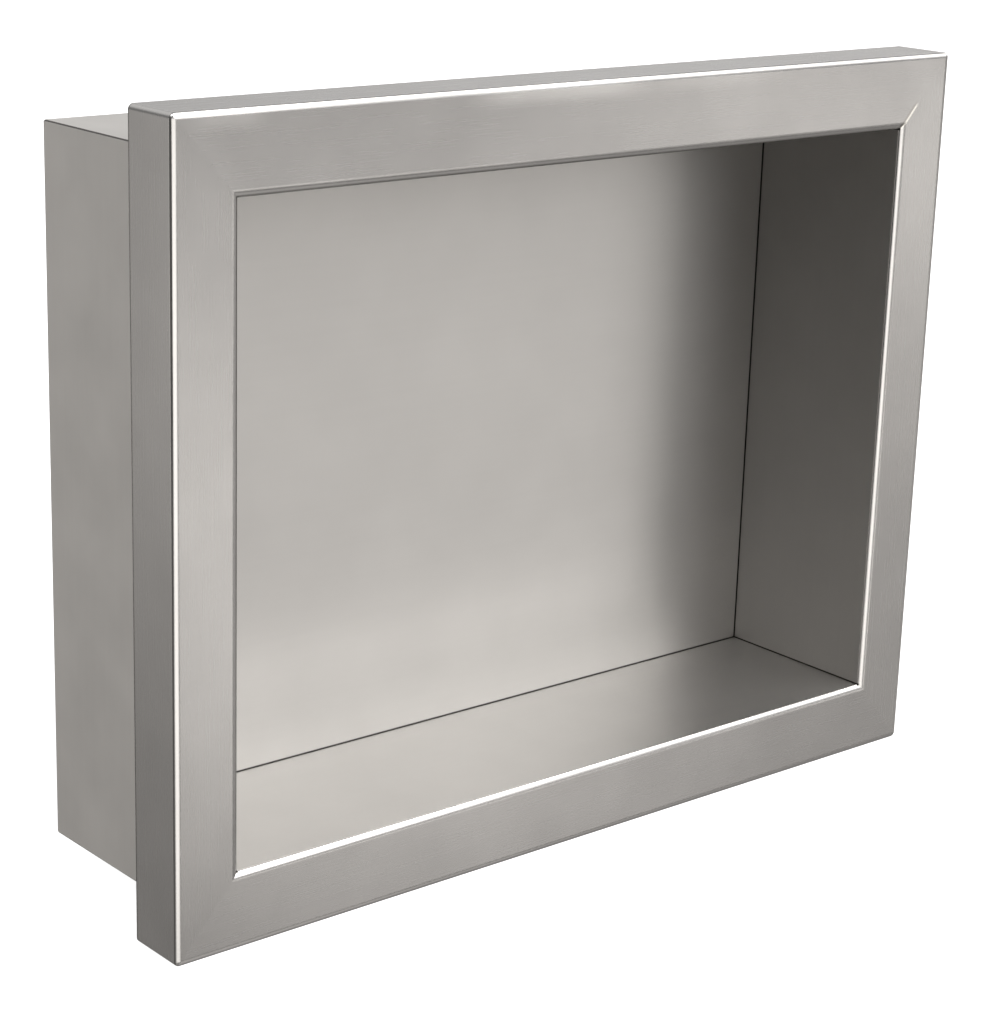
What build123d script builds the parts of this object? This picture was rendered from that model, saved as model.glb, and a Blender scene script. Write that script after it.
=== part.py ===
from build123d import *
import os

# Recessed shower niche in folded stainless sheet: an inner liner with its face frame, and an outer casing.
# X runs to the right, Y into the wall and Z up. The origin is the middle of the lip's rear edge,
# which lies on the finished wall, so the face frame stands on the room side at negative Y.

# Driving dimensions in millimetres
opening_width = 306.0    # clear mouth of the cavity
opening_height = 227.0
cavity_depth = 72.2      # front of the face frame to the inside of the cavity's back
lip_depth = 24.0         # front of the face frame to the lip's rear edge
sheet = 1.2              # thickness of both skins
inside_radius = 0.8      # hidden side of every fold
side_gap = 13.3          # air between the two skins at the left and right
top_gap = 11.6           # air between the two skins above and below
back_gap = 17.6          # air between the two backs
side_overhang = 9.3      # how far the lip stands out past the casing at the left and right
top_overhang = 14.0      # how far the lip stands out past the casing above and below

# Sizes and places that follow from them
outside_radius = inside_radius + sheet
tub_width = opening_width + 2 * sheet
tub_height = opening_height + 2 * sheet
casing_width = tub_width + 2 * (side_gap + sheet)
casing_height = tub_height + 2 * (top_gap + sheet)
frame_width = casing_width + 2 * side_overhang
frame_height = casing_height + 2 * top_overhang
wall_y = 0.0
face_y = wall_y - lip_depth
face_back_y = face_y + sheet
cavity_back_y = face_y + cavity_depth
tub_back_y = cavity_back_y + sheet
casing_back_y = tub_back_y + back_gap + sheet


def block(width, height, front_y, back_y):
    """Square-edged block, centred on X and Z, from one depth to another."""
    depth = back_y - front_y
    return Pos(0, front_y + depth / 2, 0) * Box(width, depth, height)


def pressed_block(width, height, front_y, back_y, radius, closed_end):
    """Block with its long edges and the rim of its closed end rounded, as a pan is folded.

    closed_end is 0 for the front and -1 for the back.
    """
    plain = block(width, height, front_y, back_y)
    end = plain.faces().sort_by(Axis.Y)[closed_end]
    return fillet(plain.edges().filter_by(Axis.Y) + end.edges(), radius)


def folded_pan(width, height, front_y, back_y, closed_end):
    """Five-sided pan of even sheet, closed at the front (0) or at the back (-1)."""
    hollow_front = front_y + sheet if closed_end == 0 else front_y
    hollow_back = back_y if closed_end == 0 else back_y - sheet
    outside = pressed_block(width, height, front_y, back_y, outside_radius, closed_end)
    hollow = pressed_block(
        width - 2 * sheet, height - 2 * sheet, hollow_front, hollow_back, inside_radius, closed_end
    )
    return outside - hollow


def flat_faces_by_depth(solid):
    """Faces square to Y, from the front to the back."""
    return solid.faces().filter_by(Axis.Y).sort_by(Axis.Y)


def make_liner():
    """Face frame, return lip and cavity in one skin, folded round the mouth of the cavity."""
    face_pan = folded_pan(frame_width, frame_height, face_y, wall_y, 0)
    tub = block(tub_width, tub_height, face_y, tub_back_y)
    cavity = block(opening_width, opening_height, face_y, cavity_back_y)
    liner = face_pan + tub - cavity
    # Both sides of the fold from the face into the cavity share one centre, so the sheet keeps its thickness
    face_back = flat_faces_by_depth(liner)[1]
    liner = fillet(face_back.inner_wires()[0].edges(), inside_radius)
    face_front = flat_faces_by_depth(liner)[0]
    return fillet(face_front.inner_wires()[0].edges(), outside_radius)


def make_casing():
    """Plain pan behind the frame, its open rim standing on the back of the face."""
    return folded_pan(casing_width, casing_height, face_back_y, casing_back_y, -1)


nodes = {"niche_liner": make_liner(), "outer_casing": make_casing()}

os.makedirs("parts", exist_ok=True)
for name, solid in nodes.items():
    solid.label = name
    export_step(solid, f"parts/{name}.step")
    print(name, "volume", round(solid.volume), "mm3", "faces", len(solid.faces()))
print("frame", frame_width, "x", frame_height, "casing", casing_width, "x", casing_height)
print("overall depth", casing_back_y - face_y, "casing behind the wall", casing_back_y)
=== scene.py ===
import math
import bpy
import numpy as np
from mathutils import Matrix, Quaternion, Vector


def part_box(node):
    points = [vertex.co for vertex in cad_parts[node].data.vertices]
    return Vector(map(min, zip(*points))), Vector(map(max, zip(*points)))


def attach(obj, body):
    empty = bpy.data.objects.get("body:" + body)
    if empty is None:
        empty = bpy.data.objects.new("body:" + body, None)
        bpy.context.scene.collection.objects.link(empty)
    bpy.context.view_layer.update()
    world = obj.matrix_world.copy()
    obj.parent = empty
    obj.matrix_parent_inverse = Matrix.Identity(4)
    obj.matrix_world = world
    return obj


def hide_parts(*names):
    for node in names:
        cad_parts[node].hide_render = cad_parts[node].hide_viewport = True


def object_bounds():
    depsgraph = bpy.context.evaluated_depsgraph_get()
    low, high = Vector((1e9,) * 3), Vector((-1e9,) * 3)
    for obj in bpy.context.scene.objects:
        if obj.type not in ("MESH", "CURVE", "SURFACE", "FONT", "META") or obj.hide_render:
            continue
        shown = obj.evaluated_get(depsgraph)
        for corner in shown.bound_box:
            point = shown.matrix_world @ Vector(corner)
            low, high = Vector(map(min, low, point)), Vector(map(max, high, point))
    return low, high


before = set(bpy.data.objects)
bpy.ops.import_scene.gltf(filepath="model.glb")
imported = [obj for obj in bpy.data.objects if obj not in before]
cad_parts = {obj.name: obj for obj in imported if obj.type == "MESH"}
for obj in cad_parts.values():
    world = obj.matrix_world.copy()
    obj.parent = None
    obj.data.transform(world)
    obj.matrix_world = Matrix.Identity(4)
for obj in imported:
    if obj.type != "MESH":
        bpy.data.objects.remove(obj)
cadBox = [list(corner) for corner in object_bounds()]
print("stage: frame loaded", list(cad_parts))

linerLow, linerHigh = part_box("niche_liner")
casingLow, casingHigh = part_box("outer_casing")
sheetThickness = casingLow[1] - linerLow[1]  # the casing's rim stands on the back of the face


# Profile pieces. A profile is a row of (offset outwards, depth) points with the outward normal at both ends
# of each step, kept as three arrays: points (n + 1), start normals (n) and end normals (n).
def straightRun(start, end, normal, steps=1):
    # points spaced evenly on the line from start to end, all with one normal
    share = np.linspace(0.0, 1.0, steps + 1)[:, None]
    points = np.array(start) * (1 - share) + np.array(end) * share
    normals = np.tile(np.array(normal, float), (steps, 1))
    return points, normals, normals


def roundRun(centre, radius, fromAngle, toAngle, steps, facing=1):
    # points on a circle about centre: offset grows with the cosine of the angle and depth with its sine
    angle = np.radians(np.linspace(fromAngle, toAngle, steps + 1))
    ray = np.stack([np.cos(angle), np.sin(angle)], axis=1)
    return np.array(centre) + radius * ray, facing * ray[:-1], facing * ray[1:]


def joinRuns(runs):
    points = np.concatenate([runs[0][0]] + [run[0][1:] for run in runs[1:]])
    return points, np.concatenate([run[1] for run in runs]), np.concatenate([run[2] for run in runs])


def makeRings(half, square, bulge, extra, notchSize, arcSteps, sideSteps):
    # Every ring is four corner arcs with straight sides between them, anticlockwise from the right side's
    # top. A corner is its base point plus bulge times the arc's ray, and a sharp corner can carry a small
    # V notch, cut outwards along the diagonal. Gives the rings' points, each column's ray and the side that
    # each step is on.
    arc = np.linspace(0.0, 1.0, arcSteps + 1)
    rise = (1 - np.abs(2 * arc - 1))[:, None]
    signs = np.array([[1, 1], [-1, 1], [-1, -1], [1, -1]])
    corners, cornerRays = [], []
    for corner in range(4):
        start = corner * math.pi / 2
        angle = (corner + arc) * np.pi / 2
        ray = np.stack([np.cos(angle), np.sin(angle)], axis=1)
        base = signs[corner] * np.stack([half[0] + square, half[1] + square + extra], axis=1)
        before = np.array([math.sin(start), -math.cos(start)])
        after = np.array([-math.cos(start), -math.sin(start)])
        apex = 0.5 * signs[corner]
        vee = np.where(arc[:, None] < 0.5, before, after) * (1 - rise) + apex * rise
        corners.append(base[:, None] + bulge[:, None, None] * ray + notchSize[:, None, None] * vee)
        cornerRays.append(ray)

    columns, rays, sides = [], [], []
    share = np.linspace(0.0, 1.0, sideSteps + 1)[1:-1][None, :, None]
    for corner in range(4):
        rows, following = corners[corner], corners[(corner + 1) % 4]
        columns += [rows, rows[:, -1:] * (1 - share) + following[:, :1] * share]
        rays += [cornerRays[corner], np.repeat(cornerRays[corner][-1:], sideSteps - 1, axis=0)]
        # the first half of an arc belongs to the side before the corner, the rest to the side after it
        arcSides = np.where(np.arange(arcSteps) < arcSteps / 2, corner, corner + 1)
        sides += [arcSides, np.full(sideSteps, corner + 1)]
    return np.concatenate(columns, axis=1), np.concatenate(rays), np.concatenate(sides) % 4


def addLayer(mesh, name, kind, domain, values):
    layer = mesh.attributes.new(name, kind, domain)
    layer.data.foreach_set("value", values.astype(np.int32 if kind == "INT" else np.float32))


def readBack(items, field, kind, width=1):
    # one field of every item as an array, with width numbers for each item
    values = np.zeros(len(items) * width, kind)
    items.foreach_get(field, values)
    return values


def carryRound(name, runs, half, roundFrom, panelRuns, taller=None, notch=None, arcSteps=8, sideSteps=6):
    # Each profile point becomes one ring round the niche: a rectangle of half sizes (width + offset,
    # height + offset) whose corners are arcs of radius (offset - roundFrom), or sharp where that is negative.
    # taller gives the extra height of each ring, for a face that is wider above and below than at the sides.
    # Rings are joined by quads in profile order, so the profile's two ends at the middle close the shell.
    points, normalA, normalB = joinRuns(runs)
    runOfStep = np.concatenate([np.full(len(run[1]), index) for index, run in enumerate(runs)])
    offset, depth = points[:, 0], points[:, 1]
    square, bulge = np.minimum(offset, roundFrom), np.maximum(offset - roundFrom, 0.0)
    extra = np.zeros(len(points)) if taller is None else taller(offset)
    notchSize = np.zeros(len(points)) if notch is None else notch(points)
    ringXZ, ringRay, side = makeRings(half, square, bulge, extra, notchSize, arcSteps, sideSteps)
    ringCount, around = ringXZ.shape[:2]
    place = np.stack([ringXZ[..., 0], np.repeat(depth[:, None], around, 1), ringXZ[..., 1]], axis=-1)

    # quads between neighbouring rings, with one normal and one brushing coordinate for each of their corners
    grid = np.meshgrid(np.arange(ringCount - 1), np.arange(around), indexing="ij")
    stepOf, col = grid[0].reshape(-1), grid[1].reshape(-1)
    nextCol = (col + 1) % around
    rowOf = np.stack([stepOf, stepOf, stepOf + 1, stepOf + 1], axis=-1)
    colOf = np.stack([col, nextCol, nextCol, col], axis=-1)
    runOf, sideOf = runOfStep[stepOf], side[col]
    straight = np.tile(np.arange(arcSteps + sideSteps) >= arcSteps, 4)[col]
    sideRay = np.array([[1.0, 0.0], [0.0, 1.0], [-1.0, 0.0], [0.0, -1.0]])
    outward = np.where(straight[:, None, None], sideRay[sideOf][:, None], ringRay[colOf])
    atStart = (rowOf == stepOf[:, None])[..., None]
    slope = np.where(atStart, normalA[stepOf][:, None], normalB[stepOf][:, None])
    level = outward * slope[..., :1]
    normal = np.stack([level[..., 0], slope[..., 1], level[..., 1]], axis=-1)
    spot = place[rowOf, colOf]
    length = np.concatenate([[0.0], np.cumsum(np.linalg.norm(np.diff(points, axis=0), axis=1))])
    along = np.where((sideOf % 2 == 1)[:, None], spot[..., 0], spot[..., 2])
    brushing = np.stack([along + 2.0 * sideOf[:, None], length[rowOf]], axis=-1)
    panel = np.isin(runOf, panelRuns)  # a flat panel is brushed straight across
    brushing = np.where(panel[:, None, None], spot[..., [0, 2]], brushing)
    # how far along its own run a face corner lies, from 0 at the start to 1 at the end
    runStart, runSteps = np.searchsorted(runOfStep, runOf), np.bincount(runOfStep)[runOf]
    share = (rowOf - runStart[:, None]) / runSteps[:, None]
    # how far round its corner arc a face lies, 0 in the middle and 1 at both ends, and 2 on straight sides
    arcPlace = np.abs(np.arange(arcSteps) + 0.5 - arcSteps / 2) / (arcSteps / 2)
    cornerPlace = np.tile(np.concatenate([arcPlace, np.full(sideSteps, 2.0)]), 4)[col]

    # points that fall together become one, and quads that shrank lose their doubled corners
    decimals = 7
    unique, which = np.unique(np.round(place.reshape(-1, 3), decimals), axis=0, return_inverse=True)
    index = which.reshape(ringCount, around)[rowOf, colOf]
    kept = index != np.roll(index, 1, axis=1)
    whole = kept.sum(axis=1) >= 3
    area = np.cross(spot[:, 2] - spot[:, 0], spot[:, 3] - spot[:, 1])
    turned = (area * normal.mean(axis=1)).sum(axis=1) < 0
    order = np.where(turned[:, None], np.arange(4)[::-1], np.arange(4))
    pick = np.take_along_axis
    index, kept, share = (pick(values, order, 1) for values in (index, kept, share))
    normal, brushing = (pick(values, order[..., None], 1) for values in (normal, brushing))
    loops = kept & whole[:, None]
    counts = loops.sum(axis=1)[whole]
    faces = np.split(index[loops], np.cumsum(counts)[:-1])

    mesh = bpy.data.meshes.new(name)
    mesh.from_pydata(unique.tolist(), [], [face.tolist() for face in faces])
    mesh.polygons.foreach_set("use_smooth", np.ones(len(faces), bool))
    layer = mesh.uv_layers.new(name="brushing")
    layer.data.foreach_set("uv", brushing[loops].astype(np.float32).reshape(-1))
    addLayer(mesh, "run", "INT", "FACE", runOf[whole])
    addLayer(mesh, "share", "FLOAT", "CORNER", share[loops])
    addLayer(mesh, "corner", "FLOAT", "FACE", cornerPlace[whole])
    mesh.normals_split_custom_set(normal[loops].tolist())
    mesh.update()
    piece = bpy.data.objects.new(name, mesh)
    bpy.context.collection.objects.link(piece)
    return piece


# Parts of a fold's finish, in shares of a run from its start to its end: the fold tone, which is a polished
# finish and also a painted highlight, and the painted shade lines
foldSpans = {
    "rise": (0.0, 0.25),     # fold tone grows on a shoulder that leaves the face
    "fall": (0.7, 0.45),     # and ends on a shoulder that comes to the face
    "fade": (2.2 / 3, 0.4),  # it also ends on the tight turn of the outer fold
    "near": 0.2,             # painted shade at the start of a shoulder that comes to the face
    "far": (0.35, 0.9),      # painted shade line on the tight turn that faces left
}
plainMarks = {
    "foldRuns": [], "risingRuns": [], "fallingRuns": [], "panelRuns": [], "weldRuns": [], "edgeRuns": [],
    "outerRun": 0, "weldShare": 0.5, "shadedShare": 1.0, "levelFrom": 0.9,
    "edgeShade": 0.0, "turnShade": 0.0, "downShade": 0.0, "topShade": 0.0, "farShade": 0.0,
}


def ramp(share, zeroAt, fullAt):
    return np.clip((share - zeroAt) / (fullAt - zeroAt), 0.0, 1.0)


def setFinish(piece, materials, marks):
    # The fold layer is 1 on foldRuns and on their shoulders, risingRuns and fallingRuns, as far as
    # foldSpans says. It carries the fold tone, a polished finish that is also a painted highlight.
    # Folds that face right or down keep only shadedShare of it, as painted shade, apart from the shoulders
    # that face down. The panel layer is 1 on panelRuns. The dark layer is the largest of what holds: 1 in
    # the middle weldShare of the corner arcs of weldRuns, where the weld seams are, and painted shade:
    # edgeShade on edgeRuns, turnShade on tight turns that face right or down and beside them, downShade on
    # tight turns that face down, topShade on weldRuns that face up, and farShade on the outer turn that faces
    # left. Runs from outerRun on take the last material.
    mesh = piece.data
    run = readBack(mesh.attributes["run"].data, "value", np.int32)
    corner = readBack(mesh.attributes["corner"].data, "value", np.float32)
    share = readBack(mesh.attributes["share"].data, "value", np.float32)
    loopCount = readBack(mesh.polygons, "loop_total", np.int32)
    firstLoop = readBack(mesh.polygons, "loop_start", np.int32)
    normal = readBack(mesh.polygons, "normal", np.float32, 3)
    rightward, upward = normal[0::3], normal[2::3]
    shadedSide = upward < rightward
    facesDown = upward < -np.abs(rightward)
    facesLeft = rightward < -np.abs(upward)

    def onRuns(runs, key):
        return np.isin(runs, marks[key])

    loopRun = np.repeat(run, loopCount)
    rising = onRuns(loopRun, "risingRuns") * ramp(share, *foldSpans["rise"])
    falling = onRuns(loopRun, "fallingRuns") * ramp(share, *foldSpans["fall"])
    afterRising = onRuns(loopRun - 1, "risingRuns")
    tight = np.where(afterRising, ramp(share, *foldSpans["fade"]), onRuns(loopRun, "foldRuns"))
    # painted shade: folds that face right or down keep only a share of the fold tone's painted highlight
    tightGain = np.where(shadedSide, marks["shadedShare"], 1.0)
    shoulderGain = np.where(shadedSide & ~facesDown, marks["shadedShare"], 1.0)
    fold = tight * np.repeat(tightGain, loopCount) + (rising + falling) * np.repeat(shoulderGain, loopCount)

    farShare = np.maximum.reduceat(share, firstLoop)
    farFrom, farTo = foldSpans["far"]
    turn, welded = onRuns(run, "foldRuns"), onRuns(run, "weldRuns")
    besideTurn = onRuns(run, "fallingRuns") & (farShare < foldSpans["near"])
    farTurn = onRuns(run - 1, "risingRuns") & (farShare > farFrom) & (farShare < farTo)
    # weld seams, and painted shade lines along folds, edges and the casing's upper side
    darkParts = [
        (1.0, welded & (corner < marks["weldShare"])),
        (marks["edgeShade"], onRuns(run, "edgeRuns")),
        (marks["turnShade"], shadedSide & (turn | besideTurn)),
        (marks["downShade"], facesDown & turn),
        (marks["topShade"], welded & (upward > marks["levelFrom"])),
        (marks["farShade"], facesLeft & farTurn),
    ]
    dark = np.max([amount * part for amount, part in darkParts], axis=0)

    addLayer(mesh, "fold", "FLOAT", "CORNER", fold)
    addLayer(mesh, "panel", "FLOAT", "FACE", onRuns(run, "panelRuns"))
    addLayer(mesh, "dark", "FLOAT", "FACE", dark)
    for material in materials:
        mesh.materials.append(material)
    last = len(materials) - 1
    mesh.polygons.foreach_set("material_index", np.where(run >= marks["outerRun"], last, 0).astype(np.int32))


# Liner skin: cavity, mouth fold, face, outer fold and lip, then the sheet's hidden side back to the middle
linerForm = {
    "sideBorder": 0.025,   # face between the lip and the mouth, at the left and right
    "topBorder": 0.028,    # the same above and below
    "insideBend": 0.0008,  # hidden side of a fold
    "bend": 0.001,         # tight turn of a fold on its seen side
    "bendSteps": 12,
    "ease": 0.0042,        # broad shoulder between the face and the tight turn
    "easeAngle": 26.0,
    "mouthEase": 0.004,    # the same at the mouth, where it turns further
    "mouthAngle": 38.0,
    "rearEdge": 0.0006,    # cut edge of the lip against the wall, painted dark as shade
    "corner": 0.002,       # rounded corners of the lip
    "crease": 0.00035,     # open seam between the cavity's panels
    "creaseDepth": 0.0005,
    "nearly": 1e-6,        # points closer than this to the wall of the cavity are on it
}
linerMarks = {
    **plainMarks,
    "foldRuns": [4, 8],     # tight turns of the mouth fold and of the outer fold
    "fallingRuns": [5],     # shoulder from the mouth fold to the face
    "risingRuns": [7],      # shoulder from the face to the outer fold
    "panelRuns": [0],       # back panel
    "weldRuns": [9],        # lip
    "weldShare": 0.12,
    "edgeRuns": [10],       # cut edge of the lip
    "outerRun": 4,          # the cavity has the first material and the rest the last
    # painted shade: the share of fold tone that folds facing right or down keep, and the painted shade lines
    "shadedShare": 0.15,
    "edgeShade": 0.7,
    "turnShade": 0.4,
    "downShade": 0.8,
    "farShade": 0.75,
}


def makeLiner(form):
    border, bend, sheet = form["sideBorder"], form["bend"], sheetThickness
    inner = form["insideBend"]
    hidden = sheet + inner
    steps = form["bendSteps"]
    gap, gapDepth = form["crease"], form["creaseDepth"]
    half = (linerHigh[0] - border, linerHigh[2] - form["topBorder"])
    faceY, tubBackY, lipY = linerLow[1], linerHigh[1], 0.0
    cavityY = tubBackY - sheet
    middle = -half[1]
    turnY = faceY + hidden

    def easedFold(ease, angle):
        # an eased fold is a short arc of the soft radius and then the tight one, tangent to each other:
        # gives the width of the whole fold and the depth of the tight arc's centre
        apart, turn = ease - bend, math.radians(angle)
        return bend + apart * math.sin(turn), faceY + ease - apart * math.cos(turn)

    ease, angle = form["ease"], form["easeAngle"]
    mouthEase, mouthAngle = form["mouthEase"], form["mouthAngle"]
    outerWide, tightY = easedFold(ease, angle)
    flatFrom, mouthY = easedFold(mouthEase, mouthAngle)
    flatTo = border - outerWide
    rearY = lipY - form["rearEdge"]
    runs = [
        straightRun((middle, cavityY), (-gap, cavityY), (0, -1)),
        straightRun((-gap, cavityY), (-gap, cavityY + gapDepth), (1, 0)),
        straightRun((-gap, cavityY + gapDepth), (0, cavityY + gapDepth), (0, -1)),
        straightRun((0, cavityY + gapDepth), (0, mouthY), (-1, 0), 4),
        roundRun((bend, mouthY), bend, 180, 270 - mouthAngle, steps),
        roundRun((flatFrom, faceY + mouthEase), mouthEase, 270 - mouthAngle, 270, steps // 2),
        straightRun((flatFrom, faceY), (flatTo, faceY), (0, -1)),
        roundRun((flatTo, faceY + ease), ease, 270, 270 + angle, steps // 2),
        roundRun((border - bend, tightY), bend, 270 + angle, 360, steps),
        straightRun((border, tightY), (border, rearY), (1, 0)),
        straightRun((border, rearY), (border, lipY), (1, 0)),
        straightRun((border, lipY), (border - sheet, lipY), (0, 1)),
        straightRun((border - sheet, lipY), (border - sheet, turnY), (-1, 0)),
        roundRun((border - hidden, turnY), inner, 360, 270, steps // 2, -1),
        straightRun((border - hidden, faceY + sheet), (hidden, faceY + sheet), (0, 1)),
        roundRun((hidden, turnY), inner, 270, 180, steps // 2, -1),
        straightRun((sheet, turnY), (sheet, tubBackY), (1, 0)),
        straightRun((sheet, tubBackY), (middle, tubBackY), (0, 1)),
    ]

    def cornerNotch(points):
        # the cavity's upright seams run on the wall's own points, behind the mouth fold
        onWall = (np.abs(points[:, 0]) < form["nearly"]) & (points[:, 1] > mouthY + form["nearly"])
        return np.where(onWall, gap, 0.0)

    def tallerFace(offset):
        # the flat of the face takes up the difference between the two borders
        return (form["topBorder"] - border) * ramp(offset, flatFrom, flatTo)

    backRuns = [0, len(runs) - 1]
    piece = carryRound("linerSkin", runs, half, border - form["corner"], backRuns, tallerFace, cornerNotch)
    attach(piece, "root")
    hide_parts("niche_liner")
    return piece


# Casing skin: the plain pan behind the frame, outside first and then its hidden inside
casingForm = {"bend": 0.002, "bendSteps": 12, "corner": 0.0008}
casingMarks = {
    **plainMarks,
    "foldRuns": [1],   # fold round the back
    "weldRuns": [2],   # sides
    "weldShare": 0.5,
    "topShade": 0.15,   # the upper side is painted a little darker, as shade
}


def makeCasing(form):
    bend, sheet = form["bend"], sheetThickness
    inner = bend - sheet
    steps = form["bendSteps"]
    half = (casingHigh[0], casingHigh[2])
    rimY, backY = casingLow[1], casingHigh[1]
    middle = -half[1]
    turnY = backY - bend
    runs = [
        straightRun((middle, backY), (-bend, backY), (0, 1)),
        roundRun((-bend, turnY), bend, 90, 0, steps),
        straightRun((0, turnY), (0, rimY), (1, 0)),
        straightRun((0, rimY), (-sheet, rimY), (0, -1)),
        straightRun((-sheet, rimY), (-sheet, turnY), (-1, 0)),
        roundRun((-bend, turnY), inner, 0, 90, steps // 2, -1),
        straightRun((-bend, backY - sheet), (middle, backY - sheet), (0, -1)),
    ]
    backRuns = [0, len(runs) - 1]
    piece = carryRound("casingSkin", runs, half, -form["corner"], backRuns)
    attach(piece, "root")
    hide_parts("outer_casing")
    return piece


linerSkin = makeLiner(linerForm)
casingSkin = makeCasing(casingForm)
print("stage: skins", len(linerSkin.data.polygons), "and", len(casingSkin.data.polygons), "faces")


# Small helpers for node trees
def setInputs(tree, node, inputs):
    for key, value in inputs.items():
        if isinstance(value, bpy.types.NodeSocket):
            tree.links.new(value, node.inputs[key])
        else:
            node.inputs[key].default_value = value


def addNode(tree, kind, inputs=None, **settings):
    node = tree.nodes.new(kind)
    for key, value in settings.items():
        setattr(node, key, value)
    setInputs(tree, node, inputs or {})
    return node


def useGroup(tree, group, inputs):
    return addNode(tree, "ShaderNodeGroup", inputs, node_tree=group).outputs


def mathNode(tree, operation, first, second=0.0, third=0.0):
    values = {0: first, 1: second, 2: third}
    return addNode(tree, "ShaderNodeMath", values, operation=operation).outputs[0]


def product(tree, first, *others):
    for other in others:
        first = mathNode(tree, "MULTIPLY", first, other)
    return first


def distance(tree, first, second):
    return mathNode(tree, "ABSOLUTE", mathNode(tree, "SUBTRACT", first, second))


def aboutZero(tree, value):
    return mathNode(tree, "SUBTRACT", value, 0.5)


def softStep(tree, value, low, high):
    # smooth ramp from 0 at low to 1 at high
    node = addNode(tree, "ShaderNodeMapRange", {"Value": value, "From Min": low, "From Max": high},
                   interpolation_type="SMOOTHSTEP")
    return node.outputs["Result"]


def splitVector(tree, vector):
    return addNode(tree, "ShaderNodeSeparateXYZ", {"Vector": vector}).outputs


def addNoise(tree, vector, scale, detail, roughness=0.5):
    inputs = {"Vector": vector, "Scale": scale, "Detail": detail, "Roughness": roughness}
    return addNode(tree, "ShaderNodeTexNoise", inputs).outputs["Fac"]


def mixColour(tree, factor, first, second):
    # a Mix node has one A and one B socket for each kind of data, so the colour ones go by index
    return addNode(tree, "ShaderNodeMix", {0: factor, 6: first, 7: second}, data_type="RGBA").outputs[2]


def mixValue(tree, factor, first, second):
    return addNode(tree, "ShaderNodeMix", {0: factor, 2: first, 3: second}).outputs[0]


def newGroup(name, vectors, floats, outputs):
    group = bpy.data.node_groups.new(name, "ShaderNodeTree")
    sockets = [(vectors, "INPUT", "NodeSocketVector"), (floats, "INPUT", "NodeSocketFloat"),
               (outputs, "OUTPUT", "NodeSocketFloat")]
    for names, way, kind in sockets:
        for socketName in names:
            group.interface.new_socket(socketName, in_out=way, socket_type=kind)
    return group, group.nodes.new("NodeGroupInput").outputs, group.nodes.new("NodeGroupOutput").inputs


# Brushed grain: noise drawn out along the brushing direction, a fine layer and a broad one, in waves a metre
grainLook = {
    "Fine": {"along": 22.0, "across": 2600.0},
    "Broad": {"along": 7.7, "across": 420.0},
    "detail": 3.0,
    "roughness": 0.6,
}


def makeGrainGroup(look):
    group, given, result = newGroup("brushedGrain", ["Brushing"], [], ["Fine", "Broad"])
    parts = splitVector(group, given["Brushing"])
    for layer in ("Fine", "Broad"):
        along = product(group, parts["X"], look[layer]["along"])
        across = product(group, parts["Y"], look[layer]["across"])
        spot = addNode(group, "ShaderNodeCombineXYZ", {"X": along, "Y": across}).outputs[0]
        group.links.new(addNoise(group, spot, 1.0, look["detail"], look["roughness"]), result[layer])
    return group


# Cloudy unevenness of a hand-finished sheet, on Object coordinates
cloudLook = {"scale": 34.0, "detail": 2.5}


def makeCloudGroup(look):
    group, given, result = newGroup("sheetClouds", ["Place"], [], ["Cloud"])
    group.links.new(addNoise(group, given["Place"], look["scale"], look["detail"]), result["Cloud"])
    return group


# Painted shade along the open seams where two of the cavity's panels meet: the middle one of the three
# distances to the side wall, the floor or ceiling and the back is small there. The shade fades out past
# the seam's width.
seamLook = {"fade": 1.6}


def makeSeamGroup(look):
    group, given, result = newGroup(
        "cavitySeamShade", ["Place"], ["Half Width", "Half Height", "Back", "Wide"], ["Seam"])
    parts = splitVector(group, given["Place"])
    toSide = distance(group, given["Half Width"], mathNode(group, "ABSOLUTE", parts["X"]))
    toFloor = distance(group, given["Half Height"], mathNode(group, "ABSOLUTE", parts["Z"]))
    toBack = distance(group, given["Back"], parts["Y"])
    least = mathNode(group, "MINIMUM", toSide, toFloor)
    most = mathNode(group, "MAXIMUM", toSide, toFloor)
    middle = mathNode(group, "MAXIMUM", least, mathNode(group, "MINIMUM", most, toBack))
    seamShade = softStep(group, middle, product(group, given["Wide"], look["fade"]), given["Wide"])
    group.links.new(seamShade, result["Seam"])
    return group


# Mitred corners of the face, on the way out from the mouth's corner and off to one side of the mitre: rails
# above and below are painted a little darker, as shade for how they take the light, the ground weld leaves
# streaks along the mitre, and at one corner the weld's end stays bright beside a thin dark line. A pair is
# where a mark ends and where it is full.
mitreLook = {
    "rail": (0.011, -0.011),        # off the mitre
    "streak": (0.005, 0.0005),      # off the mitre
    "streakWaves": (130.0, 600.0),  # a metre, out and off
    "streakDetail": 2.0,
    "weldEnd": (0.0135, 0.0105),    # out from the mouth's corner
    "line": (0.0007, 0.0003),       # off the line's own middle
    "middles": {"Bright": 0.0002, "Dark": -0.0008},
}
frontFade = 0.0015  # depth over which the marks of the face end on its folds


def onFront(group, depth, front):
    return softStep(group, depth, mathNode(group, "ADD", front, frontFade), front)


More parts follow.
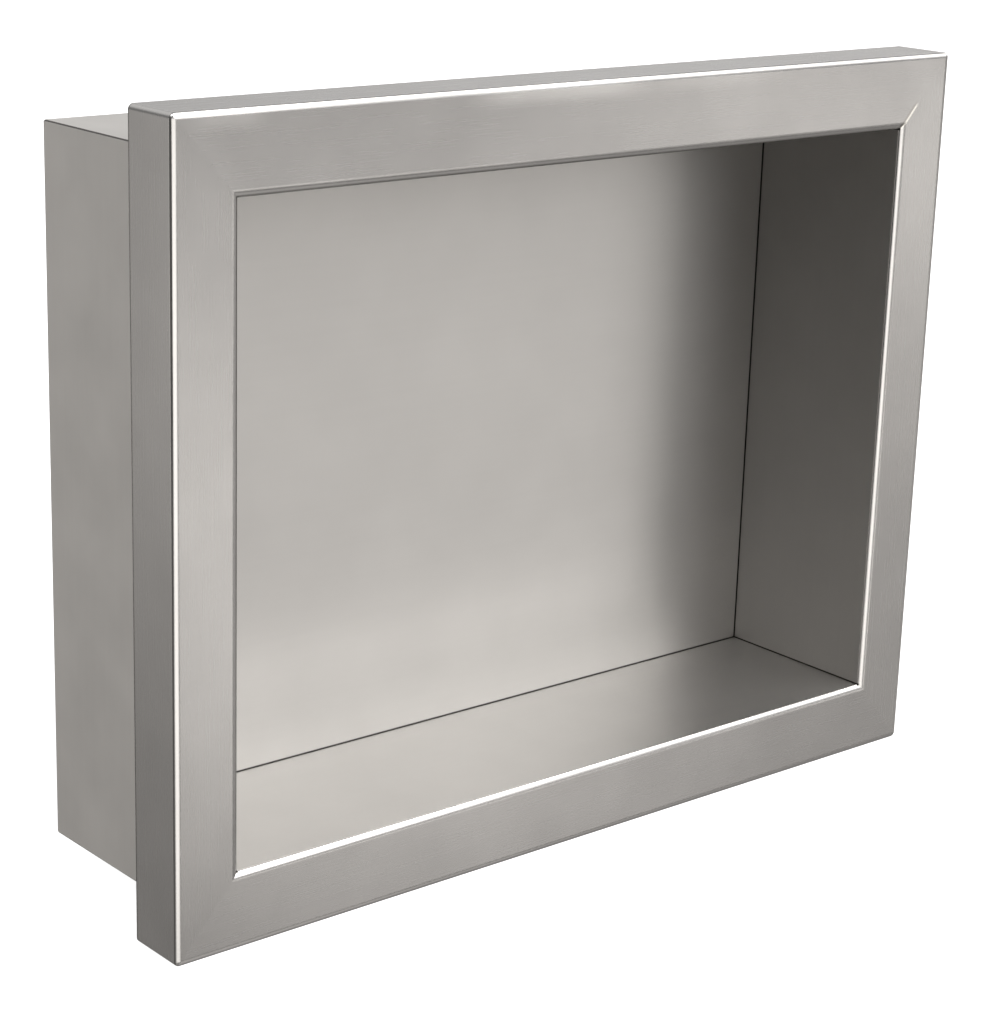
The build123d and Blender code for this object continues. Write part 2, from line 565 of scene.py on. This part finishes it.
def makeMitreGroup(look):
    group, given, result = newGroup(
        "faceMitres", ["Place"], ["Half Width", "Half Height", "Front", "Out Side", "Out Up"],
        ["Above", "Below", "Streak", "Bright", "Dark"])
    parts = splitVector(group, given["Place"])
    pastSide = mathNode(group, "SUBTRACT", mathNode(group, "ABSOLUTE", parts["X"]), given["Half Width"])
    pastTop = mathNode(group, "SUBTRACT", mathNode(group, "ABSOLUTE", parts["Z"]), given["Half Height"])
    out = mathNode(group, "ADD", product(group, pastSide, given["Out Side"]),
                   product(group, pastTop, given["Out Up"]))
    off = mathNode(group, "SUBTRACT", product(group, pastSide, given["Out Up"]),
                   product(group, pastTop, given["Out Side"]))
    front = onFront(group, parts["Y"], given["Front"])
    level = product(group, softStep(group, off, *look["rail"]), front)
    upper = mathNode(group, "GREATER_THAN", parts["Z"], 0.0)
    above = product(group, level, upper)
    group.links.new(above, result["Above"])
    group.links.new(mathNode(group, "SUBTRACT", level, above), result["Below"])

    wavesOut, wavesOff = look["streakWaves"]
    spot = {"X": product(group, out, wavesOut), "Y": product(group, off, wavesOff), "Z": parts["X"]}
    spot = addNode(group, "ShaderNodeCombineXYZ", spot).outputs[0]
    noise = addNoise(group, spot, 1.0, look["streakDetail"])
    near = product(group, softStep(group, mathNode(group, "ABSOLUTE", off), *look["streak"]), front)
    group.links.new(product(group, aboutZero(group, noise), near), result["Streak"])

    oneCorner = product(group, mathNode(group, "GREATER_THAN", parts["X"], 0.0), upper, front)
    weldEnd = product(group, softStep(group, out, *look["weldEnd"]), oneCorner)
    for name, middle in look["middles"].items():
        line = softStep(group, distance(group, off, middle), *look["line"])
        group.links.new(product(group, line, weldEnd), result[name])
    return group


# Painted highlight in bright glow spots under the fold: full at the outer edge above, and fading out below
# it and to both sides
glowSpotLook = {
    "under": (0.0085, 0.002),  # where they end below the edge, and how far they are full
    "glowSpots": [
        {"at": -0.022, "half": 0.018, "soft": 0.028, "gain": 0.36},
        {"at": 0.048, "half": 0.01, "soft": 0.04, "gain": 0.14},
        {"at": -0.157, "half": 0.006, "soft": 0.012, "gain": 0.22},
    ],
}


def makeGlowSpotGroup(look):
    group, given, result = newGroup("paintedGlowSpots", ["Place"], ["Top", "Front"], ["Spot"])
    parts = splitVector(group, given["Place"])
    total = 0.0
    for spot in look["glowSpots"]:
        away = distance(group, parts["X"], spot["at"])
        here = softStep(group, away, spot["half"] + spot["soft"], spot["half"])
        total = mathNode(group, "MULTIPLY_ADD", here, spot["gain"], total)
    under = softStep(group, mathNode(group, "SUBTRACT", given["Top"], parts["Z"]), *look["under"])
    front = onFront(group, parts["Y"], given["Front"])
    group.links.new(product(group, total, under, front), result["Spot"])
    return group


grainGroup, cloudGroup = makeGrainGroup(grainLook), makeCloudGroup(cloudLook)
seamGroup, mitreGroup, glowSpotGroup = makeSeamGroup(seamLook), makeMitreGroup(mitreLook), makeGlowSpotGroup(glowSpotLook)

# Finishes: what the three share, and then the face with its folds and lip, the cavity and the casing
steelLook = {
    "fold": (0.82, 0.811, 0.795), "foldRoughness": 0.40, "seamShade": (0.05, 0.047, 0.043),
    "weldAndShade": (0.15, 0.145, 0.14), "dish": 0.0, "panelTone": 0.0, "grainTone": 0.03, "grainRough": 0.03,
    "cloudTone": 0.2, "bump": 0.03, "bumpDepth": 0.0002, "acrossBrushing": 0.25,
}
faceFinish = {
    **steelLook, "steel": (0.55, 0.542, 0.531), "roughness": 0.27, "foldRoughness": 0.22, "anisotropy": 0.1,
    "aboveDim": 0.09, "belowDim": 0.04, "mitreStreak": 0.08,
    "weldBright": (0.95, 0.93, 0.87), "weldDark": (0.46, 0.45, 0.43),
}
# painted shade: the cavity's steel is darker than the face's, and panelTone lifts its back panel again
cavityFinish = {
    **steelLook, "steel": (0.514, 0.504, 0.489), "roughness": 0.38, "anisotropy": 0.5,
    "grainRough": 0.04, "cloudTone": 0.1, "dish": 0.25, "panelTone": 0.1,
}
casingFinish = {
    **steelLook, "steel": (0.76, 0.746, 0.723), "fold": (0.76, 0.746, 0.723), "roughness": 0.55,
    "anisotropy": 0.2,
}


def makeSteel(name, finish, seams=None, mitres=None, glowSpots=None):
    material = bpy.data.materials.new(name)
    material.use_nodes = True
    tree = material.node_tree
    shader = tree.nodes["Principled BSDF"]
    place = addNode(tree, "ShaderNodeTexCoord").outputs["Object"]
    brushing = addNode(tree, "ShaderNodeUVMap", uv_map="brushing").outputs["UV"]
    fold, panel, dark = [addNode(tree, "ShaderNodeAttribute", attribute_name=layer).outputs["Fac"]
                         for layer in ("fold", "panel", "dark")]
    grain = useGroup(tree, grainGroup, {"Brushing": brushing})
    cloud = useGroup(tree, cloudGroup, {"Place": place})["Cloud"]

    # tones are shares added to 1, and marks are colours laid over the steel one after the other
    # panelTone lifts the back panel over the cavity's walls and floor, which stay darker as painted shade
    tones = [(aboutZero(tree, grain["Broad"]), finish["grainTone"]),
             (aboutZero(tree, cloud), finish["cloudTone"]), (panel, finish["panelTone"])]
    marks = []
    if mitres:
        mitre = useGroup(tree, mitreGroup, {"Place": place, **mitres})
        # painted highlight: glow spots under the top fold
        spot = useGroup(tree, glowSpotGroup, {"Place": place, **glowSpots})["Spot"]
        # painted shade: the rails above and below the mitres are darker
        tones += [(mitre["Above"], -finish["aboveDim"]), (mitre["Below"], -finish["belowDim"]),
                  (mitre["Streak"], finish["mitreStreak"]), (spot, 1.0)]
        marks += [(mitre["Bright"], finish["weldBright"]), (mitre["Dark"], finish["weldDark"])]
    if seams:
        # painted shade along the cavity's open seams
        marks.append((useGroup(tree, seamGroup, {"Place": place, **seams})["Seam"], finish["seamShade"]))
    # weld seams and painted shade lines
    marks.append((dark, finish["weldAndShade"]))
    tone = 1.0
    for value, gain in tones:
        tone = mathNode(tree, "MULTIPLY_ADD", value, gain, tone)
    # fold tone: a polished finish that is also a painted highlight
    steel = mixColour(tree, fold, (*finish["steel"], 1), (*finish["fold"], 1))
    base = addNode(tree, "ShaderNodeVectorMath", {0: steel, "Scale": tone}, operation="SCALE").outputs[0]
    for mask, colour in marks:
        base = mixColour(tree, mask, base, (*colour, 1))

    ground = mixValue(tree, fold, finish["roughness"], finish["foldRoughness"])
    rough = mathNode(tree, "MULTIPLY_ADD", aboutZero(tree, grain["Fine"]), finish["grainRough"], ground)
    # a wide panel is dished a little by its welds: its height grows as the square of the way from the middle
    across = splitVector(tree, place)["X"]
    sag = product(tree, across, across, finish["dish"], panel)
    dish = addNode(tree, "ShaderNodeBump", {"Strength": 1.0, "Distance": 1.0, "Height": sag}).outputs[0]
    bump = addNode(tree, "ShaderNodeBump", {"Strength": finish["bump"], "Distance": finish["bumpDepth"],
                                            "Height": grain["Fine"], "Normal": dish}).outputs[0]
    tangent = addNode(tree, "ShaderNodeTangent", direction_type="UV_MAP", uv_map="brushing").outputs[0]
    # gloss spreads across the brushing
    setInputs(tree, shader, {
        "Base Color": base, "Metallic": 1.0, "Roughness": rough, "Normal": bump, "Tangent": tangent,
        "Anisotropic": finish["anisotropy"], "Anisotropic Rotation": finish["acrossBrushing"],
    })
    return material


mouthPlaces = {
    "Half Width": linerHigh[0] - linerForm["sideBorder"],
    "Half Height": linerHigh[2] - linerForm["topBorder"],
}
seamPlaces = {**mouthPlaces, "Back": linerHigh[1] - sheetThickness, "Wide": linerForm["crease"]}
mitreLength = math.hypot(linerForm["sideBorder"], linerForm["topBorder"])
mitrePlaces = {
    **mouthPlaces,
    "Front": linerLow[1],
    "Out Side": linerForm["sideBorder"] / mitreLength,
    "Out Up": linerForm["topBorder"] / mitreLength,
}
glowSpotPlaces = {"Top": linerHigh[2], "Front": linerLow[1]}
faceSteel = makeSteel("faceSteel", faceFinish, seamPlaces, mitrePlaces, glowSpotPlaces)
cavitySteel = makeSteel("cavitySteel", cavityFinish, seamPlaces)
casingSteel = makeSteel("casingSteel", casingFinish)
setFinish(linerSkin, [cavitySteel, faceSteel], linerMarks)
setFinish(casingSkin, [casingSteel], casingMarks)
print("stage: steel finishes")

# Pale floor under the lowest edge. It is bright by itself, and mirrors see the studio dome in its place.
floorLook = {"reach": 8.0, "tone": (0.4, 0.4, 0.4, 1), "roughness": 0.9, "glow": 0.9}


def makeFloor(look):
    corner = look["reach"] * np.array([[-1, -1], [1, -1], [1, 1], [-1, 1]], float)
    place = np.column_stack([corner, np.full(4, cadBox[0][2])])
    mesh = bpy.data.meshes.new("studioFloor")
    mesh.from_pydata(place.tolist(), [], [[0, 1, 2, 3]])
    floor = bpy.data.objects.new("studioFloor", mesh)
    bpy.context.collection.objects.link(floor)
    material = bpy.data.materials.new("paleFloor")
    material.use_nodes = True
    setInputs(material.node_tree, material.node_tree.nodes["Principled BSDF"], {
        "Base Color": look["tone"], "Roughness": look["roughness"],
        "Emission Color": (1, 1, 1, 1), "Emission Strength": look["glow"],
    })
    mesh.materials.append(material)
    floor.visible_glossy = False


makeFloor(floorLook)

# Studio dome: soft rectangular cards at an azimuth and elevation, in degrees. Azimuth 0 is the room side
# and 90 the right. Each card is full inside its half sizes and fades out over its soft width.
domeLook = {
    "ambient": 0.2,
    "gain": 1.1,
    "backdrop": 1.0,  # what the camera itself sees beyond the floor
    "lowTint": (1.036, 1.0, 0.966),
    "highTint": (1.014, 1.0, 0.99),
    "tintReach": 12.0,  # degrees below and above the horizon over which the tint changes
    "cards": {
        "key": {"at": (20.5, 27.2), "half": (0.9, 8.8), "soft": (22.5, 24.5), "strength": 4.91},
        "overhead": {"at": (-12.8, 51.4), "half": (70.2, 5.5), "soft": (28.4, 14.3), "strength": 3.49},
        "leftBack": {"at": (-140.5, 9.9), "half": (42.0, 61.1), "soft": (20.4, 49.6), "strength": 0.03},
        "lipLeft": {"at": (-131, -10.3), "half": (8.5, 2.2), "soft": (9.1, 10.2), "strength": 0.78},
        "lowRight": {"at": (36.5, -17.9), "half": (3.7, 2.6), "soft": (6.0, 7.1), "strength": 1.36},
        "lowLeft": {"at": (-30.5, -20.6), "half": (3.3, 2.0), "soft": (6.0, 6.0), "strength": 0.69},
        "rightSpot": {"at": (47.6, -7.5), "half": (1.4, 1), "soft": (6.2, 6), "strength": 1.7},
        "backRight": {"at": (105, 20), "half": (25, 8), "soft": (50, 6), "strength": 0.76},
        "edgeRight": {"at": (72, -10.8), "half": (13.5, 10.4), "soft": (12, 6), "strength": 0.2},
        "foldRight": {"at": (57, 24), "half": (10, 5), "soft": (12, 9), "strength": 1.4},
        "strip": {"at": (-3.1, -15.5), "half": (14.8, 11.0), "soft": (6.0, 6.0), "strength": 0.97},
        "cornerBack": {"at": (-168.0, 36.0), "half": (22.0, 8.0), "soft": (16.0, 12.0), "strength": 0.50},
        "wallShade": {"at": (-41, -3), "half": (14, 10), "soft": (12, 9), "strength": -0.19},
        "rearFill": {"at": (180.0, 70.0), "half": (60.0, 20.0), "soft": (20.0, 15.0), "strength": 0.25},
        "underFill": {"at": (0.0, -90.0), "half": (180.0, 10.0), "soft": (1.0, 20.0), "strength": 0.25},
        "below": {"at": (41.6, -50.0), "half": (12.0, 11.1), "soft": (10.1, 6.0), "strength": 0.20},
    },
}


def makeCardGroup():
    # a card's light is its strength times one smooth fade in azimuth and one in elevation
    names = [part + kind for part in ("", "At ", "Half ", "Soft ") for kind in ("Azimuth", "Elevation")]
    group, given, result = newGroup("domeCard", [], names + ["Strength"], ["Light"])
    turn = mathNode(group, "SUBTRACT", given["Azimuth"], given["At Azimuth"])
    away = {"Azimuth": mathNode(group, "ABSOLUTE", mathNode(group, "WRAP", turn, 180.0, -180.0)),
            "Elevation": distance(group, given["Elevation"], given["At Elevation"])}
    light = given["Strength"]
    for kind, value in away.items():
        edge = mathNode(group, "ADD", given["Half " + kind], given["Soft " + kind])
        light = product(group, light, softStep(group, value, edge, given["Half " + kind]))
    group.links.new(light, result["Light"])
    return group


def makeDome(look):
    world = bpy.data.worlds.new("studioDome")
    world.use_nodes = True
    tree = world.node_tree
    parts = splitVector(tree, addNode(tree, "ShaderNodeTexCoord").outputs["Generated"])
    ahead = product(tree, parts["Y"], -1.0)
    azimuth = mathNode(tree, "DEGREES", mathNode(tree, "ARCTAN2", parts["X"], ahead))
    elevation = mathNode(tree, "DEGREES", mathNode(tree, "ARCSINE", parts["Z"]))
    cardGroup = makeCardGroup()
    total = look["ambient"]
    for card in look["cards"].values():
        inputs = {"Azimuth": azimuth, "Elevation": elevation, "Strength": card["strength"]}
        for part, key in (("At ", "at"), ("Half ", "half"), ("Soft ", "soft")):
            inputs[part + "Azimuth"], inputs[part + "Elevation"] = card[key]
        total = mathNode(tree, "ADD", useGroup(tree, cardGroup, inputs)["Light"], total)
    seen = addNode(tree, "ShaderNodeLightPath").outputs["Is Camera Ray"]
    level = mixValue(tree, seen, product(tree, total, look["gain"]), look["backdrop"])
    height = softStep(tree, elevation, -look["tintReach"], look["tintReach"])
    tint = mixColour(tree, height, (*look["lowTint"], 1), (*look["highTint"], 1))
    plain = mixColour(tree, seen, tint, (1, 1, 1, 1))
    setInputs(tree, tree.nodes["Background"], {"Color": plain, "Strength": level})
    bpy.context.scene.world = world


makeDome(domeLook)
bpy.context.scene.view_settings.view_transform = "Standard"

# Camera at the photograph's place: it looks along a line to its aim and leans a little to one side
cameraLook = {
    "place": (-0.6005, -0.6749, 0.2505), "aim": (-0.025, 0.0, -0.0135), "lean": 1.79, "lens": 91.03,
    "clip": (0.01, 100.0),
}


def makeCamera(look):
    data = bpy.data.cameras.new("camera")
    data.lens = look["lens"]
    data.clip_start, data.clip_end = look["clip"]
    camera = bpy.data.objects.new("camera", data)
    bpy.context.collection.objects.link(camera)
    camera.location = look["place"]
    line = Vector(look["aim"]) - Vector(look["place"])
    lean = Quaternion((0, 0, 1), math.radians(look["lean"]))
    camera.rotation_mode = "QUATERNION"
    camera.rotation_quaternion = line.to_track_quat("-Z", "Y") @ lean
    bpy.context.scene.camera = camera


makeCamera(cameraLook)
print("stage: light and camera")
